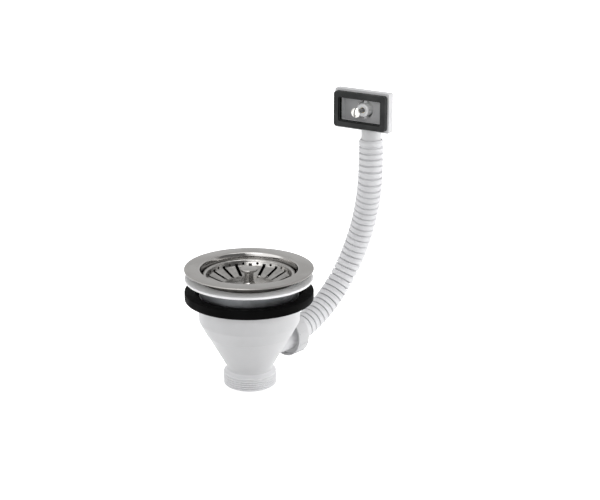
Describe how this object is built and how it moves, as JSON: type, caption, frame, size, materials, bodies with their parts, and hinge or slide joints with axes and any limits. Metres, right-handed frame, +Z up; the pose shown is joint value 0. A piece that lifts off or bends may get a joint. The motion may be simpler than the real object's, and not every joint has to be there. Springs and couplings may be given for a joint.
{
  "type": "basket strainer sink waste with overflow",
  "caption": "Kitchen sink basket strainer waste: flanged steel bowl with lift-out basket, white funnel body, and a corrugated overflow hose up to a rectangular overflow head.",
  "frame": {"origin": "on the waste's axis, in the plane of the sink deck that the flange lies on", "axes": "+Z up along the waste's axis, out of the sink; +Y towards the back, the side that the overflow branch and head lean to; +X to the right seen from the front"},
  "size_m": [0.1857, 0.1631, 0.2545],
  "materials": {
    "bowl_steel": "brushed stainless steel flange, polished well",
    "washer_white": "white, satin",
    "gasket_rubber": "black, matt",
    "body_plastic": "white moulded, satin",
    "spider_plastic": "white moulded",
    "screw_steel": "stainless steel",
    "insert_brass": "plain brass",
    "basket_steel": "pressed stainless steel",
    "knob_steel": "turned stainless steel",
    "ring_rubber": "black",
    "seal_rubber": "black, matt",
    "nut_steel": "stainless steel",
    "branch_rubber": "black",
    "nut_plastic": "white moulded, satin",
    "hose_plastic": "white corrugated, satin",
    "head_plastic": "white moulded, satin",
    "overflow_rubber": "black, matt",
    "overflow_steel": "bright steel",
    "overflow_brass": "plain brass"
  },
  "bodies": {
    "waste": {"strainer_bowl": "bowl_steel", "flange_washer": "washer_white", "body_gasket": "gasket_rubber", "waste_body": "body_plastic", "hub_spider": "spider_plastic", "center_screw": "screw_steel", "center_insert": "insert_brass", "branch_seal": "branch_rubber", "branch_nut": "nut_plastic", "overflow_hose": "hose_plastic", "overflow_head": "head_plastic", "overflow_gasket": "overflow_rubber", "overflow_screw": "overflow_steel", "overflow_insert": "overflow_brass"},
    "basket": {"strainer_basket": "basket_steel", "basket_knob": "knob_steel", "stem_grip_ring": "ring_rubber", "plug_seal": "seal_rubber", "seal_nut": "nut_steel"}
  },
  "joints": [
    {"name": "basket_lift", "type": "slide", "parent": "waste", "child": "basket", "axis": [0, 0, 1], "range_m": [0, 0.008]}
  ]
}
